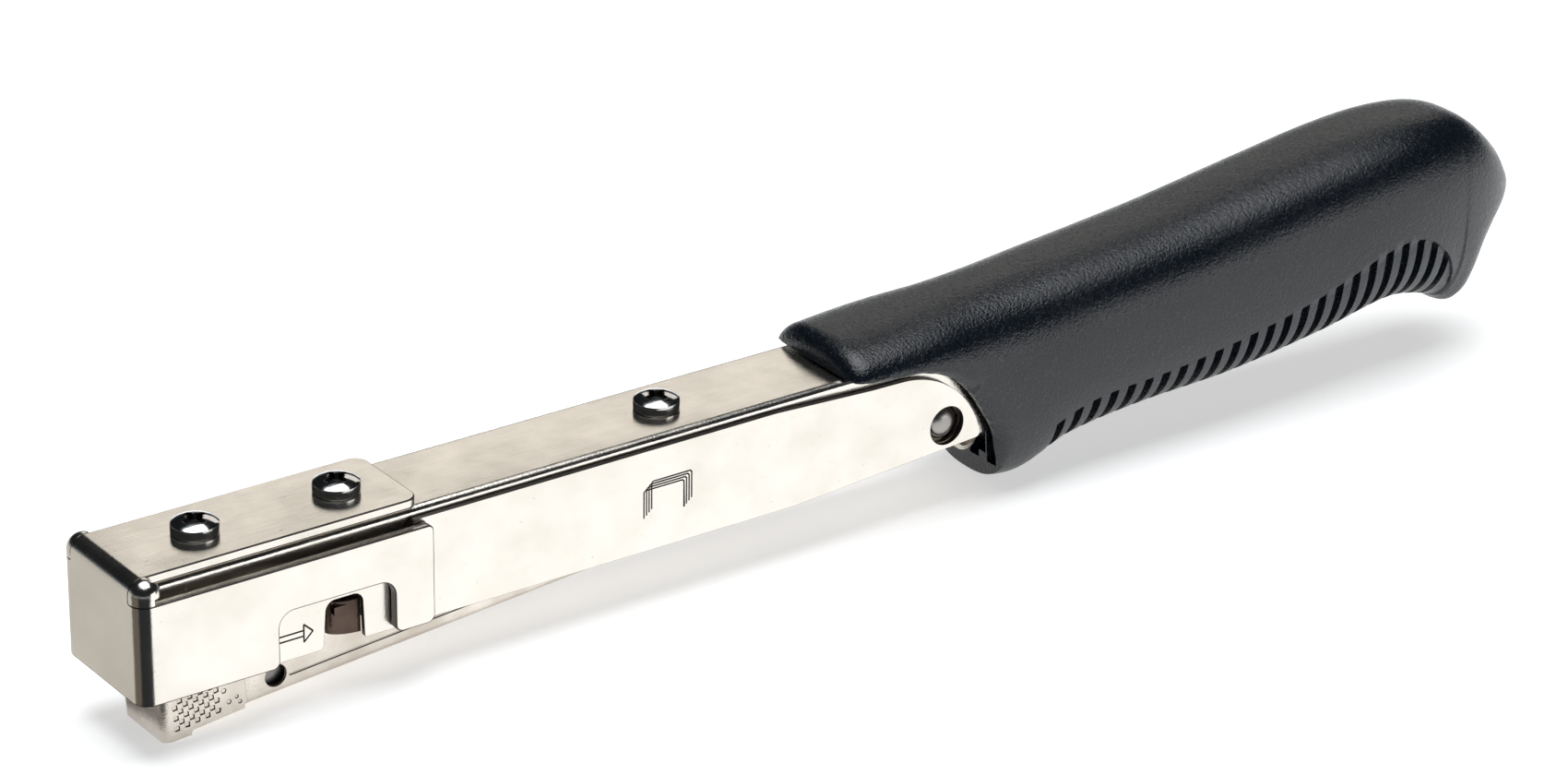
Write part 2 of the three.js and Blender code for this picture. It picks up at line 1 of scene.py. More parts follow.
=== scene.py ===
"""Hammer tacker: the visible surfaces and the studio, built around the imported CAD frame.

Shapes are drawn in millimetres in a drawing frame: x = 0 is the head's front
face, z = 0 the arm's top and y = 0 the plane of symmetry. The staple rail is
drawn along its own floor and then turned into place. Each finished mesh is
moved into the row frame, in metres.
"""
import json
import math

import bmesh
import bpy
from mathutils import Matrix, Vector


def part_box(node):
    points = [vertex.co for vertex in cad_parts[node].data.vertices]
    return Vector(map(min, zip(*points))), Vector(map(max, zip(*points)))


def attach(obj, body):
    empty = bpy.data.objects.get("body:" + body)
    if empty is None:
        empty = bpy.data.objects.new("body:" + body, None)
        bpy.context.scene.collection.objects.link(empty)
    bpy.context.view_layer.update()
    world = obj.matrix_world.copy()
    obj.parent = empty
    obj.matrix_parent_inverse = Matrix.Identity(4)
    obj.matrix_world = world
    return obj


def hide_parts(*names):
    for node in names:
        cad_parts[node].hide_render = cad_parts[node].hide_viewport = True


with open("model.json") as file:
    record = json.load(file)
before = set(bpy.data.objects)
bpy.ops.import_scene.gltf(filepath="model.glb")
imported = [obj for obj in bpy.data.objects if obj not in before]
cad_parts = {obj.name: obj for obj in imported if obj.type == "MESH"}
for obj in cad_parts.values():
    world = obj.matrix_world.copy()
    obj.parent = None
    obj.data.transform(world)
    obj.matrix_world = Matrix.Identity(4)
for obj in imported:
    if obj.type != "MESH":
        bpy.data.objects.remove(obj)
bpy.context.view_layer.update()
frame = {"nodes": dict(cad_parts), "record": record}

# ---- the drawing frame in the row frame ----
MM = 0.001
HEAD_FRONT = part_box("head_shroud")[0].x
ARM_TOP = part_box("arm_channel")[1].z
DRAWING = Matrix.Translation((HEAD_FRONT, 0, ARM_TOP)) @ Matrix.Scale(MM, 4)
RAIL_ORIGIN = (23, 0, -28.66)
RAIL_TILT = 0.0813
RAIL_FRAME = DRAWING @ Matrix.Translation(RAIL_ORIGIN) @ Matrix.Rotation(-RAIL_TILT, 4, "Y")

# ---- driving dimensions, millimetres ----
ARM = dict(half=9.35, wall=2, bend=1.3, front=4, rear=236, depth=17.5, shallow=6)
HEAD = dict(half=12.5, sheet=1.6, bend=2.7, length=54.6, top=1.7, side_top=-2.1, bottom=-19.75)
CAP = dict(half=9.35, length=54, corner=2.5)
PLATE = dict(outer=10.6, thick=0.95, front=3.5, top=-1.4, bottom=-19.9)
PLATE_INNER = PLATE["outer"] - PLATE["thick"]
PIVOT = (160.3, -13.4)
PIVOT_HOLE = 3.55
WINDOW = dict(left=35.2, right=42, top=-11.5)
SCREW_X = dict(front=17.6, rear=43.9, arm=106.6)
RAIL = dict(half=5.98, wall=0.6, floor=0.8, height=8.5, blade_rear=-12.4)
NOSE = dict(front=-16.1, rear=-0.6, half=6.8, plate=1.3, side=0.7, top=11)
GRIP = dict(front=139, rear=295.5, mouth=171.5)


# ---- mesh tools ----
def turned(vector, angle):
    c, s = math.cos(angle), math.sin(angle)
    return Vector((c * vector.x - s * vector.y, s * vector.x + c * vector.y))


def outline(*corners, step=9):
    """Corners (u, v) or (u, v, radius) as a polygon; a radius rounds the corner."""
    points = []
    for i, corner in enumerate(corners):
        here = Vector(corner[:2])
        if len(corner) == 2:
            points.append(here)
            continue
        back = (Vector(corners[i - 1][:2]) - here).normalized()
        ahead = (Vector(corners[(i + 1) % len(corners)][:2]) - here).normalized()
        half = back.angle(ahead) / 2
        middle = here + (back + ahead).normalized() * corner[2] / math.sin(half)
        start = here + back * corner[2] / math.tan(half) - middle
        sweep = math.copysign(math.pi - 2 * half, -back.cross(ahead))
        steps = max(2, round(abs(math.degrees(sweep)) / step))
        points += [middle + turned(start, sweep * k / steps) for k in range(steps + 1)]
    return points


def circle(u, v, radius, sides=48):
    turns = [2 * math.pi * k / sides for k in range(sides)]
    return [Vector((u + radius * math.cos(a), v + radius * math.sin(a))) for a in turns]


def stroke(points, width):
    """A polygon of constant width along a chain of points, mitred at its corners."""
    chain = [Vector(p) for p in points]
    left, right = [], []
    for i, here in enumerate(chain):
        before = (here - chain[i - 1]).normalized() if i else None
        after = (chain[i + 1] - here).normalized() if i < len(chain) - 1 else None
        normals = [Vector((-d.y, d.x)) for d in (before, after) if d is not None]
        mean = sum(normals, Vector((0, 0))).normalized()
        offset = mean * (width / 2) / mean.dot(normals[0])
        left.append(here + offset)
        right.append(here - offset)
    return left + right[::-1]


def solid(points, faces):
    """A closed mesh object with its faces turned outward."""
    mesh = bpy.data.meshes.new("solid")
    mesh.from_pydata([tuple(p) for p in points], [], faces)
    work = bmesh.new()
    work.from_mesh(mesh)
    bmesh.ops.remove_doubles(work, verts=work.verts, dist=1e-4)
    bmesh.ops.recalc_face_normals(work, faces=work.faces)
    work.to_mesh(mesh)
    work.free()
    piece = bpy.data.objects.new("solid", mesh)
    bpy.context.scene.collection.objects.link(piece)
    return piece


PUT = {
    "x": lambda u, v, w: (w, u, v),
    "y": lambda u, v, w: (u, w, v),
    "z": lambda u, v, w: (u, v, w),
}


def prism(points, low, high, along):
    """A polygon pushed from low to high along one axis."""
    count = len(points)
    put = PUT[along]
    corners = [put(p[0], p[1], w) for w in (low, high) for p in points]
    sides = [[i, (i + 1) % count, count + (i + 1) % count, count + i] for i in range(count)]
    return solid(corners, [list(range(count)), list(range(count, 2 * count)), *sides])


def box(x0, x1, y0, y1, z0, z1):
    return prism([(x0, z0), (x1, z0), (x1, z1), (x0, z1)], y0, y1, "y")


def rod_y(x, z, radius, y0, y1, sides=48):
    return prism(circle(x, z, radius, sides), y0, y1, "y")


def rod_z(x, y, radius, z0, z1, sides=48):
    return prism(circle(x, y, radius, sides), z0, z1, "z")


def lathe(profile, sides=64):
    """A profile of (radius, height) turned round the z axis; it starts and ends on the axis."""
    points = []
    for radius, height in profile:
        points += [(x, y, height) for x, y in circle(0, 0, radius, sides)]
    rings = len(profile)
    faces = []
    for i in range(rings - 1):
        for k in range(sides):
            a, b = i * sides + k, i * sides + (k + 1) % sides
            faces.append([a, b, b + sides, a + sides])
    return solid(points, faces)


def tube(path, radius, sides=10):
    """A round wire along a list of points, closed at both ends."""
    path = [Vector(p) for p in path]
    points, faces = [], []
    for i, here in enumerate(path):
        ahead = (path[min(i + 1, len(path) - 1)] - path[max(i - 1, 0)]).normalized()
        side = ahead.cross(Vector((0, 0, 1))).normalized()
        up = side.cross(ahead)
        for u, v in circle(0, 0, radius, sides):
            points.append(here + side * u + up * v)
    for i in range(len(path) - 1):
        for k in range(sides):
            a, b = i * sides + k, i * sides + (k + 1) % sides
            faces.append([a, b, b + sides, a + sides])
    last = (len(path) - 1) * sides
    faces += [list(range(sides)), list(range(last, last + sides))]
    return solid(points, faces)


def bake(piece):
    """Applies a piece's modifiers."""
    graph = bpy.context.evaluated_depsgraph_get()
    result = bpy.data.meshes.new_from_object(piece.evaluated_get(graph))
    piece.modifiers.clear()
    before = piece.data
    piece.data = result
    bpy.data.meshes.remove(before)
    return piece


def combine(base, tools, operation):
    for tool in tools:
        step = base.modifiers.new("step", "BOOLEAN")
        step.operation = operation
        step.solver = "EXACT"
        step.object = tool
    bake(base)
    for tool in tools:
        spare = tool.data
        bpy.data.objects.remove(tool)
        bpy.data.meshes.remove(spare)
    return base


def cut(base, *tools):
    return combine(base, tools, "DIFFERENCE")


def join(base, *tools):
    return combine(base, tools, "UNION")


def common(base, *tools):
    return combine(base, tools, "INTERSECT")


def tidy(piece, angle=0.6):
    """Merges stray points and flat neighbouring faces that a cut leaves."""
    work = bmesh.new()
    work.from_mesh(piece.data)
    bmesh.ops.remove_doubles(work, verts=work.verts, dist=0.004)
    bmesh.ops.dissolve_limit(work, angle_limit=math.radians(angle), verts=work.verts, edges=work.edges)
    work.to_mesh(piece.data)
    work.free()
    return piece


SHARP_EDGE = 35


def round_edges(piece, width, segments=3, tone=-1):
    """Rounds each sharp edge; tone is the material index of the rounding, -1 for its neighbour's. With the
    dark edge material in that slot, the rounding is a painted shade line.
    """
    piece.data.shade_smooth()
    while len(piece.data.materials) <= tone:
        piece.data.materials.append(None)
    step = piece.modifiers.new("edges", "BEVEL")
    step.material = tone
    step.width = width
    step.segments = segments
    step.limit_method = "ANGLE"
    step.angle_limit = math.radians(SHARP_EDGE)
    step.use_clamp_overlap = False
    step.harden_normals = True
    step.miter_outer = "MITER_ARC"
    return bake(piece)


def mirrored(piece):
    """A copy of a piece on the other side of the plane of symmetry."""
    twin = piece.copy()
    twin.data = piece.data.copy()
    twin.data.transform(Matrix.Scale(-1, 4, (0, 1, 0)))
    twin.data.flip_normals()
    bpy.context.scene.collection.objects.link(twin)
    return twin


def paint_edge_shade(piece, inner, outer, behind):
    """Gives the sheared edges of the upright sheets, between inner and outer, material index 1: the dark
    material, painted shade on these edge faces.
    """
    for face in piece.data.polygons:
        in_sheet = inner < abs(face.center.y) < outer and face.center.x > behind
        if in_sheet and abs(face.normal.y) < 0.5:
            face.material_index = 1
    return piece


def install(piece, name, body, materials, replaced, place=DRAWING):
    """Moves a finished mesh into the row frame, gives it its materials, parents it to its body and hides the
    CAD parts it replaces.
    """
    piece.name = name
    piece.data.name = name
    piece.data.transform(place)
    spare_slots = len(piece.data.materials)
    for i, material in enumerate(materials):
        if i < spare_slots:
            piece.data.materials[i] = material
        else:
            piece.data.materials.append(material)
    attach(piece, body)
    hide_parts(*replaced)
    return piece


# ---- materials ----
def new_material(name):
    """A material with its shader, and a function that adds a node."""
    material = bpy.data.materials.new(name)
    material.use_nodes = True
    tree = material.node_tree
    shader = tree.nodes["Principled BSDF"]

    def add(kind, inputs=None, **settings):
        node = tree.nodes.new(kind)
        for key, value in settings.items():
            setattr(node, key, value)
        for key, value in (inputs or {}).items():
            if isinstance(value, bpy.types.NodeSocket):
                tree.links.new(value, node.inputs[key])
            else:
                node.inputs[key].default_value = value
        return node

    return material, tree, shader, add


def noise(add, place, size_mm, detail=2.0, roughness=0.5):
    return add("ShaderNodeTexNoise", {
        "Vector": place, "Scale": 1 / (size_mm * MM), "Detail": detail, "Roughness": roughness,
    }).outputs["Fac"]


def spread(add, value, low, high, start=0.3, end=0.7):
    """Maps a texture's values from start..end to low..high."""
    return add("ShaderNodeMapRange", {
        "Value": value, "From Min": start, "From Max": end, "To Min": low, "To Max": high,
    }).outputs["Result"]


def mix_colour(add, factor, first, second):
    node = add("ShaderNodeMix", {"Factor": factor}, data_type="RGBA")
    for socket, colour in zip([i for i in node.inputs if i.type == "RGBA"], (first, second)):
        if isinstance(colour, bpy.types.NodeSocket):
            node.id_data.links.new(colour, socket)
        else:
            socket.default_value = (*colour, 1)
    return [o for o in node.outputs if o.type == "RGBA"][0]


def add_up(add, *values):
    total = values[0]
    for value in values[1:]:
        total = add("ShaderNodeMath", {0: total, 1: value}, operation="ADD").outputs[0]
    return total


def scaled(add, value, factor):
    return add("ShaderNodeMath", {0: value, 1: factor}, operation="MULTIPLY").outputs[0]


def metal(name, bright, dull, rough, grain_mm, grain, scratch, sand=0.0):
    """Plated or bare steel: fine grain, faint drawn scratches, cloudy tone and small dull specks."""
    material, tree, shader, add = new_material(name)
    place = add("ShaderNodeTexCoord").outputs["Object"]
    clouds = noise(add, place, 9, 3)
    fine = noise(add, place, grain_mm, 3, 0.6)
    drawn = add("ShaderNodeMapping", {"Vector": place, "Scale": (0.04, 1, 1)}).outputs["Vector"]
    scratches = noise(add, drawn, 0.22, 3, 0.65)
    specks = spread(add, noise(add, place, 1.1, 4, 0.7), 0, 1, 0.66, 0.74)
    tone = mix_colour(add, spread(add, clouds, 0, 1), bright, dull)
    tone = mix_colour(add, scaled(add, specks, 0.35), tone, [c * 0.45 for c in dull])
    tree.links.new(tone, shader.inputs["Base Color"])
    low, high = rough
    roughness = add_up(add, spread(add, clouds, low, high), spread(add, scratches, -0.03, 0.05),
                       scaled(add, specks, 0.15))
    tree.links.new(roughness, shader.inputs["Roughness"])
    shader.inputs["Metallic"].default_value = 1
    height = add_up(add, scaled(add, fine, grain), scaled(add, scratches, scratch),
                    scaled(add, noise(add, place, 0.6, 4, 0.7), sand))
    bump = add("ShaderNodeBump", {"Height": height, "Strength": 1.0, "Distance": 0.00006})
    tree.links.new(bump.outputs["Normal"], shader.inputs["Normal"])
    return material


CHARCOAL = (0.0025, 0.0055, 0.0095), (0.005, 0.0075, 0.011)
GRAIN_GREY = (0.045, 0.048, 0.056)


def moulded_plastic(name):
    """Charcoal plastic with a fine spark-eroded grain and slightly polished wear."""
    material, tree, shader, add = new_material(name)
    place = add("ShaderNodeTexCoord").outputs["Object"]
    grain = noise(add, place, 0.45, 2, 0.6)
    pits = noise(add, place, 1.0, 2, 0.5)
    clouds = noise(add, place, 22, 3)
    tone = mix_colour(add, spread(add, clouds, 0, 1), *CHARCOAL)
    tone = mix_colour(add, spread(add, grain, 0, 0.8, 0.58, 0.76), tone, GRAIN_GREY)
    tree.links.new(tone, shader.inputs["Base Color"])
    roughness = add_up(add, spread(add, clouds, 0.21, 0.28), spread(add, pits, -0.04, 0.06))
    tree.links.new(roughness, shader.inputs["Roughness"])
    shader.inputs["Specular IOR Level"].default_value = 0.5
    height = add_up(add, scaled(add, grain, 0.75), scaled(add, pits, 0.4))
    bump = add("ShaderNodeBump", {"Height": height, "Strength": 1.0, "Distance": 0.00015})
    tree.links.new(bump.outputs["Normal"], shader.inputs["Normal"])
    return material


NICKEL = metal("warm_nickel", (0.80, 0.762, 0.70), (0.72, 0.682, 0.615), (0.15, 0.22),
               grain_mm=0.4, grain=0.35, scratch=0.03)
RAIL_NICKEL = metal("sandy_nickel", (0.80, 0.745, 0.67), (0.58, 0.52, 0.45), (0.24, 0.36),
                    grain_mm=0.4, grain=0.4, scratch=0.03, sand=1.1)
SCREW_NICKEL = metal("bright_nickel", (0.74, 0.73, 0.71), (0.62, 0.61, 0.60), (0.06, 0.12),
                     grain_mm=0.5, grain=0.05, scratch=0.02)
STEEL = metal("plain_steel", (0.36, 0.34, 0.32), (0.24, 0.225, 0.215), (0.24, 0.34),
              grain_mm=0.4, grain=0.2, scratch=0.1)
SPRING_STEEL = metal("spring_steel", (0.36, 0.35, 0.34), (0.25, 0.24, 0.23), (0.22, 0.32),
                     grain_mm=0.4, grain=0.1, scratch=0.2)
LATCH_STEEL = metal("latch_steel", (0.10, 0.07, 0.056), (0.035, 0.025, 0.021), (0.18, 0.3),
                    grain_mm=0.6, grain=0.5, scratch=0.1, sand=0.4)
# Dark material for edge roundings, cut sheet edges and screw recesses: painted shade lines along edges and in
# hollows.
PAINTED_EDGE_SHADE = metal("painted_edge_shade", (0.085, 0.075, 0.07), (0.04, 0.036, 0.034), (0.28, 0.4),
                grain_mm=0.3, grain=0.3, scratch=0.1)
# A dull dark colour for the floors of the engraved lines.
DARK_LINE_FLOOR = metal("dark_line_floor", (0.20, 0.17, 0.14), (0.13, 0.11, 0.09), (0.45, 0.6),
               grain_mm=0.3, grain=0.3, scratch=0.1)
PLASTIC = moulded_plastic("charcoal_plastic")

SLOT_MATERIALS = {
    "nickel_plate": NICKEL, "screw_nickel": SCREW_NICKEL, "steel": STEEL,
    "spring_steel": SPRING_STEEL, "latch_steel": LATCH_STEEL, "grip_plastic": PLASTIC,
}


def dress_cad_nodes():
    """Gives each carried-over CAD node the material of its slot."""
    for part in frame["record"]["subparts"]:
        mesh = frame["nodes"][part["node"]].data
        mesh.materials.clear()
        mesh.materials.append(SLOT_MATERIALS[part["material_slot"]])


# ---- head and arm ----
def folded_shroud():
    half, sheet, bend = HEAD["half"], HEAD["sheet"], HEAD["bend"]
    length, top, bottom = HEAD["length"], HEAD["top"], HEAD["bottom"]
    inner = bend - sheet
    wrap = prism(outline(
        (length, half), (0, half, bend), (0, -half, bend), (length, -half),
        (length, sheet - half), (sheet, sheet - half, inner), (sheet, half - sheet, inner),
        (length, half - sheet), step=6,
    ), bottom, HEAD["side_top"], "z")
    flank = outline(
        (-1, bottom), (25.4, bottom, 1.35), (25.4, -10.05, 2.8), (47.1, -10.05, 2.8),
        (47.1, bottom, 1.35), (length, bottom, 1.5), (length, HEAD["side_top"], 1.1), (-1, HEAD["side_top"]),
    )
    wrap = common(wrap, prism(flank, -20, 20, "y"))
    cap = prism(outline(
        (0, -4), (0, top, bend), (CAP["length"], top), (CAP["length"], top - sheet),
        (sheet, top - sheet, inner), (sheet, -4), step=6,
    ), -CAP["half"], CAP["half"], "y")
    corner = CAP["corner"]
    plan = prism(outline(
        (-1, -CAP["half"]), (CAP["length"], -CAP["half"], corner), (CAP["length"], CAP["half"], corner),
        (-1, CAP["half"]),
    ), -5, top + 1, "z")
    holes = [rod_z(SCREW_X[k], 0, 2.2, -1, top + 1) for k in ("front", "rear")]
    shroud = cut(join(wrap, common(cap, plan)), *holes, *[weld_dent(side) for side in (-1, 1)])
    shroud = round_edges(tidy(shroud), 0.24, 4, tone=1)
    return paint_edge_shade(shroud, half - sheet + 0.05, half - 0.05, 2 * bend)


def ball(radius, centre, rings=24, sides=48):
    turns = [math.pi * k / rings for k in range(rings + 1)]
    shape = lathe([(radius * math.sin(a), -radius * math.cos(a)) for a in turns], sides)
    shape.data.transform(Matrix.Translation(centre))
    return shape


def pressed_corner(side):
    """The rounded corner where the cap's front bend meets a flank, open to the plate behind it."""
    half, sheet, bend, top = HEAD["half"], HEAD["sheet"], HEAD["bend"], HEAD["top"]
    y, z = half - bend, top - bend
    low, high = sorted((side * (CAP["half"] + 0.02), side * y))
    corner = join(ball(bend, (bend, side * y, z)),
                  rod_z(bend, side * y, bend, HEAD["side_top"] + 0.02, z, 60),
                  rod_y(bend, z, bend, low, high, 60))
    inner = half - sheet
    under_roof = box(sheet, 9, -inner, inner, -6, top - sheet)
    plate_room = box(PLATE["front"] - 0.3, 9, -inner, inner, -6, top + 1)
    under_ball = box(bend + 0.4, 9, -20, 20, -6, z)
    below = box(-1, 9, -20, 20, -6, HEAD["side_top"] + 0.02)
    corner = cut(corner, below, under_ball, under_roof, plate_room)
    corner.data.shade_smooth()
    corner.data.set_sharp_from_angle(angle=math.radians(40))
    return corner


WELD_DENT = dict(radius=9.0, depth=0.16, x=11.3, z=-13.1)


def weld_dent(side):
    """A ball that presses a shallow round dent into the flange."""
    radius = WELD_DENT["radius"]
    y = side * (HEAD["half"] + radius - WELD_DENT["depth"])
    return ball(radius, (WELD_DENT["x"], y, WELD_DENT["z"]), 40, 64)


def folded_arm():
    half, wall, depth = ARM["half"], ARM["wall"], ARM["depth"]
    inner = half - wall
    section = outline(
        (-half, -depth), (-inner, -depth), (-inner, -wall, 0.6), (inner, -wall, 0.6),
        (inner, -depth), (half, -depth), (half, 0, ARM["bend"]), (-half, 0, ARM["bend"]),
    )
    shallow = -ARM["shallow"]
    relief = prism(outline((0, shallow), (142, shallow, 3), (149, -30), (0, -30)), -20, 20, "y")
    holes = [rod_z(x, 0, 2.2, -3, 1) for x in SCREW_X.values()]
    pivot = rod_y(*PIVOT, 3.5, -20, 20)
    arm = cut(prism(section, ARM["front"], ARM["rear"], "x"), relief, *holes, pivot)
    return round_edges(tidy(arm), 0.12, tone=1)


SCREW = dict(head=4.0, side=1.8, dome=1.0, shank=1.9)
CROWN_TOP = SCREW["side"] + SCREW["dome"]
CROWN_RADIUS = (SCREW["head"] ** 2 + SCREW["dome"] ** 2) / (2 * SCREW["dome"])
# The star recess: a deep cross and a shallow one between its arms, both narrowing downward.
CROSS = dict(reach=2.9, deep=1.8, wide=1.05)
SHALLOW_CROSS = dict(reach=1.9, deep=0.9, wide=0.45)
CROSS_TAPER = 0.45
STAR_TURN = 12


def star_flute(turn, reach, deep, wide):
    blade = [(-reach, CROWN_TOP + 0.5), (-reach * CROSS_TAPER, CROWN_TOP - deep),
             (reach * CROSS_TAPER, CROWN_TOP - deep), (reach, CROWN_TOP + 0.5)]
    flute = prism(blade, -wide / 2, wide / 2, "y")
    flute.data.transform(Matrix.Rotation(math.radians(turn + STAR_TURN), 4, "Z"))
    return flute


def paint_recess_shade(screw):
    """Gives the walls of the star recess material index 1, the dark material: painted shade in the recess."""
    centre = Vector((0, 0, CROWN_TOP - CROWN_RADIUS))
    for face in screw.data.polygons:
        outward = (face.center - centre).normalized()
        in_recess = face.center.z > CROWN_TOP - 2.1 and face.center.xy.length < 3.2
        if in_recess and face.normal.dot(outward) < 0.93:
            face.material_index = 1


def pan_screw(x, seat, length):
    """A pan head with a smooth crown, a rounded shoulder and a star recess."""
    head, side, shank = SCREW["head"], SCREW["side"], SCREW["shank"]
    profile = [(0, -length), (shank - 0.4, -length), (shank, 0.4 - length), (shank, 0)]
    profile += [(head - 0.25, 0), (head - 0.06, 0.08), (head, 0.3), (head, side - 0.3),
                (head - 0.05, side - 0.05)]
    for k in range(1, 13):
        radius = (head - 0.2) * (1 - k / 12)
        profile.append((radius, CROWN_TOP - CROWN_RADIUS + math.sqrt(CROWN_RADIUS ** 2 - radius ** 2)))
    body = lathe(profile, 72)
    flutes = [star_flute(turn, **CROSS) for turn in (0, 90)]
    flutes += [star_flute(turn, **SHALLOW_CROSS) for turn in (45, 135)]
    well = lathe([(0, CROWN_TOP - 1.9), (0.85, CROWN_TOP - 1.6), (1.5, CROWN_TOP + 0.5),
                  (0, CROWN_TOP + 0.5)], 32)
    screw = round_edges(tidy(cut(body, *flutes, well), 0.2), 0.05, 2)
    paint_recess_shade(screw)
    screw.data.transform(Matrix.Translation((x, 0, seat)))
    return screw


# ---- magazine housing ----
ARROW = dict(tail=24.8, neck=30.9, tip=32.6, centre=-15.85, shaft=0.5, barb=1.6)
STAPLE_MARK = dict(left=96.9, top=-8.6, width=8.1, height=5.1, count=4, step=(0.52, 0.45))
LINE_WIDTH = 0.16
STAPLE_LINE_WIDTH = 0.13
ENGRAVED = 0.2
CREASE = 0.05
STOP_DENT = dict(radius=16, depth=0.15)


def engraving(points, width=LINE_WIDTH):
    surface = PLATE["outer"]
    return prism(stroke(points, width), -surface - 0.2, ENGRAVED - surface, "y")


def colour_line_floors(plate):
    """Gives the floors of the engraved lines a dull dark colour."""
    level = MM * (PLATE["outer"] - ENGRAVED)
    for face in plate.data.polygons:
        if abs(face.normal.y) > 0.9 and abs(abs(face.center.y) - level) < MM * 0.02:
            face.material_index = 2


def arrow_marks():
    centre, shaft, neck = ARROW["centre"], ARROW["shaft"], ARROW["neck"]
    shafts = [[(ARROW["tail"], centre + s), (neck, centre + s)] for s in (-shaft, shaft)]
    high, low = (neck, centre + ARROW["barb"]), (neck, centre - ARROW["barb"])
    tip = (ARROW["tip"], centre)
    return [engraving(line) for line in (*shafts, [high, low], [high, tip], [low, tip])]


def staple_marks():
    """A stack of plain staples, each a little up and to the right of the last."""
    marks = []
    for i in range(STAPLE_MARK["count"]):
        left = STAPLE_MARK["left"] + i * STAPLE_MARK["step"][0]
        top = STAPLE_MARK["top"] + i * STAPLE_MARK["step"][1]
        right, foot = left + STAPLE_MARK["width"], top - STAPLE_MARK["height"]
        marks.append(engraving([(left, foot), (left, top - 0.3), (left + 0.3, top), (right - 0.3, top),
                                (right, top - 0.3), (right, foot)], STAPLE_LINE_WIDTH))
    return marks


def side_plate():
    front, top, bottom, outer = PLATE["front"], PLATE["top"], PLATE["bottom"], PLATE["outer"]
    left, right, lintel = WINDOW["left"], WINDOW["right"], WINDOW["top"]
    sheet = prism(outline(
        (front, bottom, 1), (left - 0.7, bottom, 0.9), (left, lintel, 1.8), (right, lintel, 1.8),
        (right + 0.3, bottom, 0.4), (128, bottom - 0.1, 30), (167.9, -17.3, 1), (164.2, -2.8, 18),
        (144, -2.4, 20), (124, top, 20), (52, top, 1), (50, -5.2, 1), (front, -8, 1), step=5,
    ), -outer, -PLATE_INNER, "y")
    roller = 1.2
    track = [(108, 0.03, -2.2), (116, -CREASE, -2.43), (132, -CREASE, -2.9), (141, 0.03, -3.16)]
    crease = tube([(x, -outer - roller - proud, z) for x, proud, z in track], roller, 64)
    mark = ball(STOP_DENT["radius"], (153.6, STOP_DENT["depth"] - outer - STOP_DENT["radius"], -12.4), 48, 96)
    hole = rod_y(*PIVOT, PIVOT_HOLE, -15, -5, 64)
    plate = cut(sheet, hole, crease, mark, *arrow_marks(), *staple_marks())
    plate = round_edges(tidy(plate, 0.3), 0.08, 2, tone=1)
    return paint_edge_shade(plate, PLATE_INNER + 0.03, outer - 0.03, front)


# The finger's curl in plan: a quarter of an ellipse, as (length, width) outside and inside.
FINGER = dict(rear=42.3, root=-6.9, outside=(5.4, 2.5), inside=(4.1, 1.3), low=-21, high=-13.2)


def finger_curl(length, width):
    turns = [math.radians(180 - 7.5 * k) for k in range(13)]
    rear, root = FINGER["rear"], FINGER["root"]
    return [Vector((rear + length * math.cos(a), root - width * math.sin(a))) for a in turns]


def latch_finger():
    """The latch's bridge with a curled finger in each window."""
    bridge = box(37.5, 42.4, -9.2, 9.2, -15.3, -13.8)
    curl = finger_curl(*FINGER["outside"]) + finger_curl(*FINGER["inside"])[::-1]
    finger = prism(curl, FINGER["low"], FINGER["high"], "z")
    slope = prism([(30, -30), (50, -30), (50, -19.6), (30, -18.9)], -20, 20, "y")
    finger = cut(finger, slope)
    return round_edges(tidy(join(bridge, finger, mirrored(finger)), 0.2), 0.12, 2)


def pivot_dome():
    """The pin's polished domed ends, deep in the plates' holes."""
    radius, reach, deep = 3.2, PLATE["outer"] - 0.35, 2.3
    end = []
    for k in range(15):
        turn = math.pi / 2 * k / 14
        end.append((radius * math.sin(turn), deep * (1 - math.cos(turn)) - reach))
    pin = lathe([*end, *[(r, -h) for r, h in reversed(end)]], 64)
    pin.data.transform(Matrix.Translation((PIVOT[0], 0, PIVOT[1])) @ Matrix.Rotation(math.pi / 2, 4, "X"))
    pin.data.shade_smooth()
    return pin


# ---- staple rail, drawn along its floor ----
def rail_pivot():
    dx, dz = PIVOT[0] - RAIL_ORIGIN[0], PIVOT[1] - RAIL_ORIGIN[2]
    c, s = math.cos(RAIL_TILT), math.sin(RAIL_TILT)
    return dx * c + dz * s, dz * c - dx * s


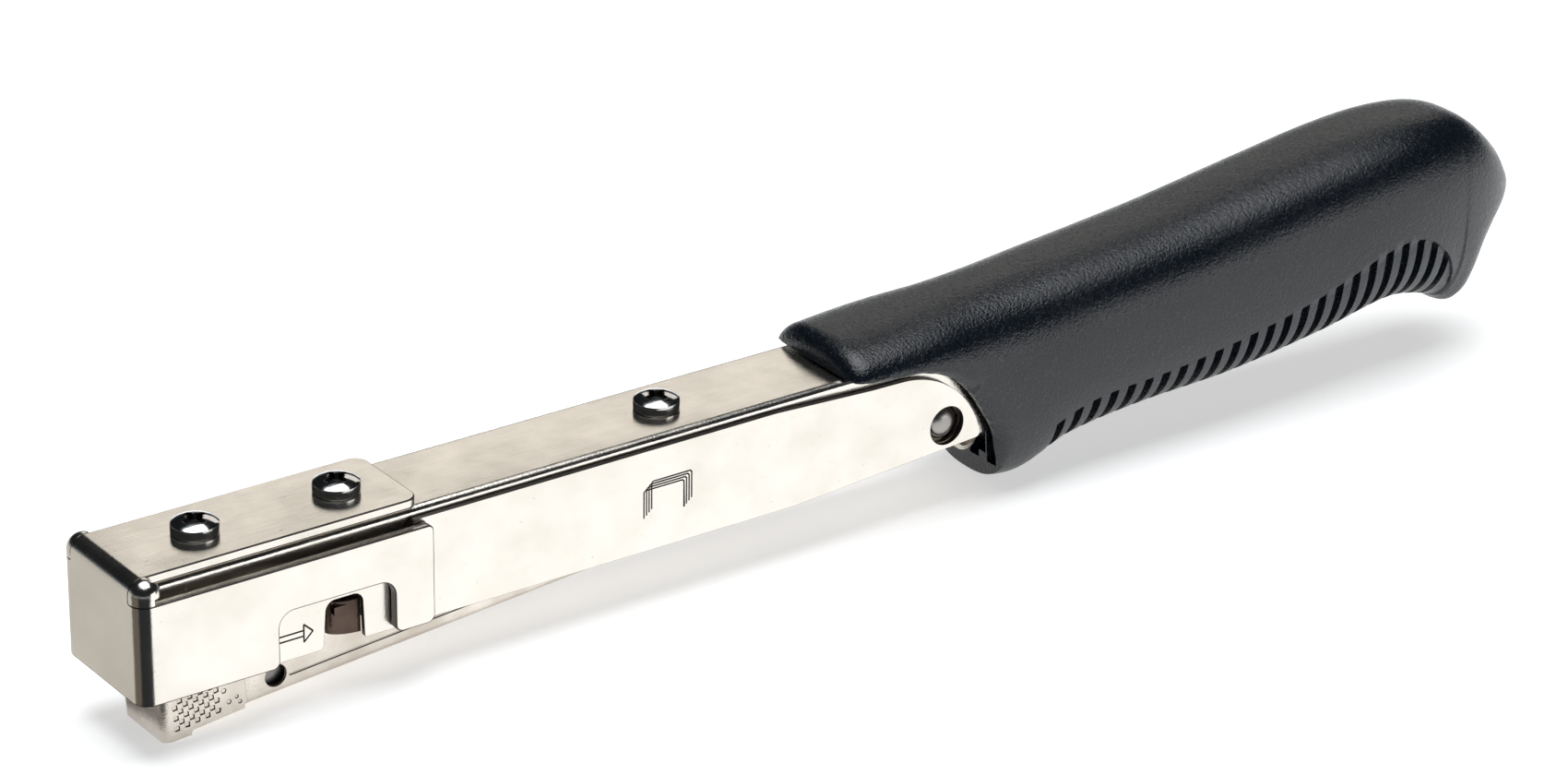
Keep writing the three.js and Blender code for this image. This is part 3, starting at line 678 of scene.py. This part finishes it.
def folded_channel():
    half, wall, floor, height = RAIL["half"], RAIL["wall"], RAIL["floor"], RAIL["height"]
    px, pz = rail_pivot()
    ear, front = 5.2, NOSE["front"] + NOSE["plate"] + 0.15
    section = outline(
        (-half, height), (-half, 0, 1.3), (half, 0, 1.3), (half, height),
        (half - wall, height), (half - wall, floor, 0.6), (wall - half, floor, 0.6), (wall - half, height),
    )
    sides = outline(
        (front, -2), (px - 8, -2), (px - 1, pz - ear + 0.02), (px + 3, pz - ear), (px + ear, pz - 2, 4),
        (px + ear, pz + ear, 4.8), (px - 10, pz + ear, 3), (px - 14, height, 6), (front, height, 1),
    )
    channel = prism(section, front, px + ear, "x")
    flanks = ((-half, wall - half), (half - wall, half))
    ears = [box(px - 13, px + ear, *y, pz - ear, pz + ear) for y in flanks]
    channel = common(join(channel, *ears), prism(sides, -20, 20, "y"))
    exit_slot = box(front - 1, RAIL["blade_rear"], wall - half, half - wall, -3, 2)
    rear_slot = box(px - 6, px + ear + 1, wall - half, half - wall, -3, 2)
    hole = rod_y(5.45, 3.5, 1.95, -20, 20)
    pivot = rod_y(px, pz, 3.5, -20, 20)
    skins = ((-half - 1, 0.12 - half), (half - 0.12, half + 1))
    creases = [box(8, px - 16, *y, 2.55, 2.85) for y in skins]
    channel = cut(channel, exit_slot, rear_slot, hole, pivot, *creases)
    return round_edges(tidy(channel, 0.3), 0.09, 2, tone=1)


KNURL = dict(front=-13.6, rear=-6.2, low=1.35, high=6.2, pitch=0.95, size=0.8, deep=0.2)


def knurl(side):
    """Small square dents in staggered rows."""
    pitch, half = KNURL["pitch"], KNURL["size"] / 2
    surface = side * NOSE["half"]
    inner = surface - side * KNURL["deep"]
    dents = []
    rows = round((KNURL["high"] - KNURL["low"]) / pitch)
    columns = round((KNURL["rear"] - KNURL["front"]) / pitch)
    for row in range(rows + 1):
        for column in range(columns + 1):
            if (row + column) % 2:
                continue
            u = KNURL["front"] + column * pitch
            w = KNURL["low"] + row * pitch + 0.05 * column
            square = [(u - half, w - half), (u + half, w - half), (u + half, w + half), (u - half, w + half)]
            dents.append(prism(square, min(inner, surface + side), max(inner, surface + side), "y"))
    return dents


def one_mesh(pieces):
    """Joins separate solids that don't touch into one object."""
    points, faces = [], []
    for piece in pieces:
        start = len(points)
        points += [tuple(v.co) for v in piece.data.vertices]
        faces += [[start + i for i in f.vertices] for f in piece.data.polygons]
        spare = piece.data
        bpy.data.objects.remove(piece)
        bpy.data.meshes.remove(spare)
    return solid(points, faces)


# Small round wear marks behind the knurl, as (along, up, radius).
NOSE_SPOTS = [(-4.6, 4.9, 0.42), (-3.9, 2.6, 0.4), (-2.4, 3.0, 0.3), (-1.9, 1.9, 0.32)]


def wrapped_nose():
    front, rear, half, plate, side = (NOSE[k] for k in ("front", "rear", "half", "plate", "side"))
    wrap = prism(outline(
        (rear, half), (front, half, 1.7), (front, -half, 1.7), (rear, -half),
        (rear, side - half), (front + plate, side - half, 0.4), (front + plate, half - side, 0.4),
        (rear, half - side), step=7,
    ), -0.75, NOSE["top"], "z")
    heel = prism(outline(
        (-11.5, -2), (-11, 0.05, 0.5), (rear - 0.6, 0.35), (rear - 0.45, 1.2, 0.5), (rear + 1, 1.5),
        (rear + 1, -2),
    ), -20, 20, "y")
    marks = []
    for turn in (-1, 1):
        low, high = sorted((turn * half - turn * 0.12, turn * half + turn))
        marks += [rod_y(u, w, r, low, high, 12) for u, w, r in NOSE_SPOTS]
    dents = one_mesh([*knurl(-1), *knurl(1), *marks])
    nose = cut(tidy(cut(wrap, heel), 0.3), dents)
    return round_edges(nose, 0.07, 2, tone=1)


EYE = dict(radius=2.5, wall=0.9, half=5.2, x=146, z=-3.1, strip_front=112)


def rolled_eye():
    radius, wall, half, x, z, front = EYE.values()
    strip = prism([(front, -0.9), (x, z + radius - wall), (x, z + radius), (front, -0.1)], -half, half, "y")
    roll = cut(rod_y(x, z, radius, -half, half), rod_y(x, z, radius - wall, -7, 7))
    opening = box(x - 4, x, -7, 7, z - 0.6, z + 0.4)
    return round_edges(tidy(cut(join(strip, roll), opening), 0.3), 0.12, 2)


# ---- springs ----
COIL_STEPS = 28


def coil_path(radius, turns, start, end):
    count = round(turns * COIL_STEPS)
    path = []
    for i in range(count + 1):
        angle = 2 * math.pi * turns * i / count
        path.append((radius * math.cos(angle), radius * math.sin(angle), start + (end - start) * i / count))
    return path


RETURN_COIL = dict(radius=3.2, wire=0.45, turns=4.5, length=8.45, move=(76, 0, -11.85))
LATCH_COIL = dict(radius=1, wire=0.25, turns=4, length=9.2, move=(42.6, 0, -14.7), flat=True)
PUSHER_COIL = dict(radius=1.75, wire=0.3, turns=9, length=88, move=(-6.7, 0, 3.4), flat=True)


def wound_spring(radius, wire, turns, length, move, flat=False):
    spring = tube(coil_path(radius, turns, wire, length - wire), wire)
    turn = Matrix.Rotation(math.pi / 2, 4, "Y") if flat else Matrix.Identity(4)
    spring.data.transform(Matrix.Translation(move) @ turn)
    spring.data.shade_smooth()
    return spring


# ---- grip ----
GRIP_TOP = [
    (139, 4.6), (165, 6.4), (190, 8.3), (215, 10.7), (240, 14.1), (258, 16.3), (272, 17),
    (282, 15), (289.2, 9.1), (293.5, 2.2), (295.5, -0.43),
]
GRIP_BOTTOM = [
    (139, -12), (152, -12.5), (160, -17), (168, -26.5), (177, -29.4), (188, -25.4), (204, -23.4),
    (225, -22.6), (246, -20.4), (264, -17.7), (278, -20.8), (282, -22.3), (285, -15.2),
    (288, -9.8), (292.2, -5), (295.5, -0.45),
]
GRIP_HALF = [(139, 13.2), (160, 13.9), (210, 14.8), (240, 15.3), (262, 15.4), (280, 13.6), (295.5, 12.3)]
GRIP_ROUND_FROM = 268
BUTT_FROM = 282
# The level where the grip is widest leaves the middle of its height and settles near the arm's.
GRIP_LEVEL = dict(start=262, end=277, z=-0.45)
SECTION_UPPER, SECTION_LOWER = 2.7, 2.5
GROOVES = dict(count=24, first=183.5, last=273, width=1.75, depth=1.35, wall=0.1)
# The upper edge of the ribbed field on the flanks; it turns down at the rear in a round end.
RIB_EDGE = [
    (176, -21), (190, -15.6), (211, -13.8), (238, -8.8), (258, -2.5), (266, -2.6), (272.5, -7),
    (276.5, -13.5), (278, -20),
]
THROAT = [(130, 0.45), (160, -0.6, 20), (173.2, -21.6, 12), (166.5, -30), (130, -40)]
THROAT_ROUND = dict(roof=0.5, cheek=2.6, start=150, full=166)


def curve(points, x):
    """A smooth curve through points (x, value), by cubic pieces."""
    last = len(points) - 1
    i = 0
    while i < last - 1 and x > points[i + 1][0]:
        i += 1

    def slope(k):
        a, b = points[max(k - 1, 0)], points[min(k + 1, last)]
        return (b[1] - a[1]) / (b[0] - a[0])

    (x0, y0), (x1, y1) = points[i], points[i + 1]
    h = x1 - x0
    t = min(max((x - x0) / h, 0), 1)
    rise = y0 + (y1 - y0) * t * t * (3 - 2 * t)
    return rise + t * (1 - t) ** 2 * h * slope(i) - t * t * (1 - t) * h * slope(i + 1)


def ease(value, low, high):
    t = min(max((value - low) / (high - low), 0), 1)
    return t * t * (3 - 2 * t)


def quarter_round(distance, radius):
    """How far a rounded edge falls away at a distance from it."""
    gap = min(max(1 - distance / radius, 0), 1)
    return radius * (1 - math.sqrt(1 - gap * gap))


def grip_limits(x):
    """Top, bottom, half-width and widest level of the grip's section at x."""
    t = min(max((x - GRIP_ROUND_FROM) / (GRIP["rear"] - GRIP_ROUND_FROM), 0), 1)
    half = curve(GRIP_HALF, x) * (1 - t ** 2.8) ** (1 / 2.4)
    front_fall = quarter_round(x - GRIP["front"], 3.6)
    inside = 0.1 * (1 - t)
    top = curve(GRIP_TOP, x) - 0.9 * front_fall - inside
    bottom = curve(GRIP_BOTTOM, x)
    settled = ease(x, GRIP_LEVEL["start"], GRIP_LEVEL["end"])
    middle = (top + bottom) / 2 * (1 - settled) + GRIP_LEVEL["z"] * settled
    return top, bottom, half - 0.5 * front_fall - 0.3 * inside, middle


def section_point(limits, angle):
    top, bottom, half, middle = limits
    c, s = math.cos(angle), math.sin(angle)
    power = 2 / (SECTION_UPPER if s > 0 else SECTION_LOWER)
    rise = top - middle if s > 0 else middle - bottom
    y = half * math.copysign(abs(c) ** power, c)
    return y, middle + rise * math.copysign(abs(s) ** power, s)


def rib_edge_angle(limits, edge):
    top, bottom, _, middle = limits
    rise = max(top - middle if edge > middle else middle - bottom, 0.01)
    level = min(max((edge - middle) / rise, -0.93), 0.5)
    power = 2 / (SECTION_UPPER if level > 0 else SECTION_LOWER)
    return math.asin(math.copysign(abs(level) ** (1 / power), level))


RING_BELOW, RING_ABOVE = 26, 40


def ring_angles(limits, edge):
    """Angles of one section's points; two of them straddle the rib edge on each flank."""
    split = rib_edge_angle(limits, edge)
    gap = 0.012
    low = [-math.pi / 2 + (split - gap + math.pi / 2) * k / RING_BELOW for k in range(RING_BELOW + 1)]
    high = [split + gap + (math.pi / 2 - split - gap) * k / RING_ABOVE for k in range(RING_ABOVE + 1)]
    right = low + high
    return right + [math.pi - a for a in reversed(right[1:-1])]


def grip_stations():
    """Positions of the sections: close together at the ends and at each groove's walls."""
    stations = {GRIP["front"] + 4 * (k / 9) ** 1.6 for k in range(10)}
    stations |= {143 + k for k in range(1, 140)}
    pitch = (GROOVES["last"] - GROOVES["first"]) / (GROOVES["count"] - 1)
    half, wall = GROOVES["width"] / 2, GROOVES["wall"]
    for i in range(GROOVES["count"]):
        middle = GROOVES["first"] + i * pitch
        near = {s for s in stations if abs(s - middle) < half + 0.35}
        stations -= near
        stations |= {middle - half - wall, middle - half + wall, middle}
        stations |= {middle + half - wall, middle + half + wall}
    stations = {s for s in stations if s <= BUTT_FROM}
    butt = GRIP["rear"] - BUTT_FROM
    stations |= {BUTT_FROM + butt * math.sin(math.pi / 2 * k / 22) for k in range(1, 23)}
    return sorted(stations)


def groove_depth(x):
    pitch = (GROOVES["last"] - GROOVES["first"]) / (GROOVES["count"] - 1)
    i = min(max(round((x - GROOVES["first"]) / pitch), 0), GROOVES["count"] - 1)
    away = abs(x - GROOVES["first"] - i * pitch)
    return GROOVES["depth"] if away < GROOVES["width"] / 2 else 0


def throat_distance(x, z, edge):
    """Distance from (x, z) to the throat's edge, or 0 inside the throat."""
    here = Vector((x, z))
    best, inside = 1e9, False
    for a, b in zip(edge, [*edge[1:], edge[0]]):
        along = b - a
        t = min(max((here - a).dot(along) / max(along.length_squared, 1e-9), 0), 1)
        best = min(best, (here - a - along * t).length)
        if (a.y > z) != (b.y > z) and x < (b.x - a.x) * (z - a.y) / (b.y - a.y) + a.x:
            inside = not inside
    return 0 if inside else best


def throat_round(x):
    """The throat's edge is nearly square along the roof and well rounded on the cheek."""
    roof, cheek = THROAT_ROUND["roof"], THROAT_ROUND["cheek"]
    return roof + (cheek - roof) * ease(x, THROAT_ROUND["start"], THROAT_ROUND["full"])


def grip_section(x, throat_edge):
    limits = grip_limits(x)
    angles = ring_angles(limits, curve(RIB_EDGE, min(x, RIB_EDGE[-1][0])))
    points = [Vector(section_point(limits, a)) for a in angles]
    count = len(points)
    in_ribs = RIB_EDGE[0][0] < x < RIB_EDGE[-1][0]
    recess = 0.45 * ease(x, 222, 262) if in_ribs else 0
    depth = recess + (groove_depth(x) if in_ribs else 0)
    moved = []
    for k, point in enumerate(points):
        below = k <= RING_BELOW or k >= count - RING_BELOW
        if below and depth:
            tangent = points[(k + 1) % count] - points[k - 1]
            point = point + Vector((-tangent.y, tangent.x)).normalized() * depth
        y, z = point
        if x < GRIP["mouth"] + 4:
            fall = quarter_round(throat_distance(x, z, throat_edge), throat_round(x))
            y = math.copysign(max(abs(y) - fall, 0), y)
        moved.append((x, y, z))
    return moved


def grip_shell():
    throat_edge = outline(*THROAT, step=6)
    rings = [grip_section(x, throat_edge) for x in grip_stations()]
    sides = len(rings[0])
    points = [p for ring in rings for p in ring]
    faces = []
    for i in range(len(rings) - 1):
        for k in range(sides):
            a, b = i * sides + k, i * sides + (k + 1) % sides
            faces.append([a, b, b + sides, a + sides])
    faces.append(list(range(sides)))
    shell = solid(points, faces)
    arm_slot = box(130, ARM["rear"] + 0.3, -PLATE_INNER, PLATE_INNER, -17.8, 0.3)
    throat = prism(throat_edge, -20, 20, "y")
    lobe = outline((130, 0.45), (160, 0.45, 6), (172, -12, 8), (174, -40), (130, -40))
    lobe_room = prism(lobe, -10.95, 10.95, "y")
    eye_room = box(165, 176, -5.8, 5.8, -24, -8)
    slots = [box(169, 180.5, y - 1.3, y + 1.3, -25.5, -12) for y in (-7.4, -2.5, 2.5, 7.4)]
    shell = cut(shell, arm_slot, throat, lobe_room, eye_room, *slots)
    shell.data.shade_smooth()
    shell.data.set_sharp_from_angle(angle=math.radians(38))
    return shell


# ---- studio ----
def area_light(name, place, target, size, power, colour=(1, 1, 1)):
    data = bpy.data.lights.new(name, "AREA")
    data.shape = "RECTANGLE"
    data.size, data.size_y = size
    data.energy = power
    data.color = colour
    light = bpy.data.objects.new(name, data)
    light.location = place
    light.rotation_euler = (Vector(target) - Vector(place)).to_track_quat("-Z", "Y").to_euler()
    bpy.context.scene.collection.objects.link(light)


# The sky's brightness, as (height, grey), with the horizon at height 0 and the zenith at 1.
SKY_STOPS = [(0.0, 0.30), (0.08, 0.12), (0.2, 0.012), (0.84, 0.012), (0.95, 0.9)]


def studio_world():
    """A dim sky with a pale band low down and a bright patch overhead."""
    world = bpy.data.worlds.new("studio")
    bpy.context.scene.world = world
    world.use_nodes = True
    tree = world.node_tree
    background = tree.nodes["Background"]
    place = tree.nodes.new("ShaderNodeTexCoord")
    split = tree.nodes.new("ShaderNodeSeparateXYZ")
    ramp = tree.nodes.new("ShaderNodeValToRGB")
    tree.links.new(place.outputs["Generated"], split.inputs[0])
    tree.links.new(split.outputs["Z"], ramp.inputs["Fac"])
    tree.links.new(ramp.outputs["Color"], background.inputs["Color"])
    elements = ramp.color_ramp.elements
    while len(elements) < len(SKY_STOPS):
        elements.new(0.5)
    for element, (position, grey) in zip(elements, SKY_STOPS):
        element.position = position
        element.color = (grey * 0.9, grey, grey * 1.1, 1)
    background.inputs["Strength"].default_value = 1.0


def floor():
    half = 4.0
    mesh = bpy.data.meshes.new("floor")
    corners = [(-half, -half, 0), (half, -half, 0), (half, half, 0), (-half, half, 0)]
    mesh.from_pydata(corners, [], [(0, 1, 2, 3)])
    plane = bpy.data.objects.new("floor", mesh)
    bpy.context.scene.collection.objects.link(plane)
    material, tree, shader, add = new_material("pale_floor")
    place = add("ShaderNodeTexCoord").outputs["Object"]
    tone = mix_colour(add, noise(add, place, 300, 2), (0.90, 0.90, 0.895), (0.87, 0.87, 0.865))
    tree.links.new(tone, shader.inputs["Base Color"])
    shader.inputs["Roughness"].default_value = 0.9
    shader.inputs["Specular IOR Level"].default_value = 0.1
    shader.inputs["Emission Color"].default_value = (1, 1, 1, 1)
    shader.inputs["Emission Strength"].default_value = 0.55
    mesh.materials.append(material)


CARD = dict(reach=1.3, height=0.0003, steps=8)
# Each card's tone, and the bearings in degrees that it spans.
CARDS = {
    "grey_card": ((0.76, 0.72, 0.66), 80, 148),
    "brown_card": ((0.16, 0.135, 0.11), 148, 200),
    "black_card": ((0.004, 0.006, 0.01), 200, 282),
}


def floor_card(name, tone, start, end):
    """A fan-shaped card beside the head's corner, seen only as a shade in the bright metal."""
    apex = DRAWING @ Vector((HEAD["bend"], HEAD["bend"] - HEAD["half"], 0))
    reach, height, steps = CARD["reach"], CARD["height"], CARD["steps"]
    points = [(apex.x, apex.y, height)]
    for k in range(steps + 1):
        turn = math.radians(start + (end - start) * k / steps)
        points.append((apex.x + reach * math.cos(turn), apex.y + reach * math.sin(turn), height))
    mesh = bpy.data.meshes.new(name)
    mesh.from_pydata(points, [], [tuple(range(steps + 2))])
    card = bpy.data.objects.new(name, mesh)
    bpy.context.scene.collection.objects.link(card)
    material, _, shader, _ = new_material(name)
    shader.inputs["Base Color"].default_value = (*tone, 1)
    shader.inputs["Roughness"].default_value = 0.9
    mesh.materials.append(material)
    card.visible_camera = False
    card.visible_diffuse = False
    card.visible_shadow = False


# Metres, degrees, and millimetres for the lens.
CAMERA = dict(target=(-0.0147, 0, 0.0276), distance=0.9231, bearing=-35.94, elevation=25.1, roll=0.86,
              lens=123.9, sensor=36)


def camera():
    """Looks down at the near side from the head's end."""
    bearing, elevation, roll = (math.radians(CAMERA[k]) for k in ("bearing", "elevation", "roll"))
    turn = Matrix.Rotation(bearing, 4, "Z") @ Matrix.Rotation(math.pi / 2 - elevation, 4, "X")
    data = bpy.data.cameras.new("camera")
    data.lens, data.sensor_width = CAMERA["lens"], CAMERA["sensor"]
    eye = bpy.data.objects.new("camera", data)
    aim = Matrix.Translation(CAMERA["target"]) @ turn @ Matrix.Rotation(roll, 4, "Z")
    eye.matrix_world = aim @ Matrix.Translation((0, 0, CAMERA["distance"]))
    bpy.context.scene.collection.objects.link(eye)
    bpy.context.scene.camera = eye


def lights():
    middle = (0, 0, 0.03)
    area_light("overhead", (0.05, 0, 1.7), middle, (1.4, 1.4), 23)
    area_light("low_right", (0.86, -1.33, 0.24), middle, (1.0, 0.34), 2.6)
    area_light("rear_right", (0.85, 1.05, 0.68), middle, (1.0, 0.55), 1.75, (1, 0.955, 0.89))


# ---- assembly ----
camera()
studio_world()
floor()
for name, card in CARDS.items():
    floor_card(name, *card)
lights()
dress_cad_nodes()

install(grip_shell(), "grip_shell", "handle", (PLASTIC,), ["grip"])
install(folded_shroud(), "shroud_sheet", "handle", (NICKEL, PAINTED_EDGE_SHADE), ["head_shroud"])
for side, where in ((-1, "left"), (1, "right")):
    install(pressed_corner(side), where + "_corner", "handle", (NICKEL,), ["head_shroud"])
install(folded_arm(), "arm_sheet", "handle", (NICKEL, PAINTED_EDGE_SHADE), ["arm_channel"])
SCREWS = {"shroud_screw_front": (SCREW_X["front"], HEAD["top"] + 0.05, 9),
          "shroud_screw_rear": (SCREW_X["rear"], HEAD["top"] + 0.05, 7),
          "arm_screw": (SCREW_X["arm"], 0.05, 6.5)}
for node, size in SCREWS.items():
    install(pan_screw(*size), node + "_head", "handle", (SCREW_NICKEL, PAINTED_EDGE_SHADE), [node])
install(pivot_dome(), "pivot_dome", "handle", (STEEL,), ["pivot_pin"])
install(wound_spring(**RETURN_COIL), "return_coil", "handle", (SPRING_STEEL,),
        ["return_spring"])

near_plate = side_plate()
far_plate = mirrored(near_plate)
for plate, side in ((near_plate, "left"), (far_plate, "right")):
    install(plate, side + "_plate_sheet", "magazine_housing", (NICKEL, PAINTED_EDGE_SHADE, DARK_LINE_FLOOR),
            [side + "_side_plate"])
    colour_line_floors(plate)
install(wound_spring(**LATCH_COIL), "latch_coil", "magazine_housing", (SPRING_STEEL,),
        ["latch_spring"])
install(latch_finger(), "latch_finger", "latch", (LATCH_STEEL,), ["latch_hook"])

install(folded_channel(), "rail_channel", "staple_rail", (RAIL_NICKEL, PAINTED_EDGE_SHADE),
        ["magazine_channel"], RAIL_FRAME)
install(wrapped_nose(), "nose_wrap", "staple_rail", (RAIL_NICKEL, PAINTED_EDGE_SHADE),
        ["nose_plate"], RAIL_FRAME)
install(rolled_eye(), "rail_eye", "staple_rail", (RAIL_NICKEL,),
        ["rail_end_eye"], RAIL_FRAME)
install(wound_spring(**PUSHER_COIL), "pusher_coil", "staple_rail", (SPRING_STEEL,),
        ["pusher_spring"], RAIL_FRAME)

bpy.context.scene.view_settings.view_transform = "Standard"
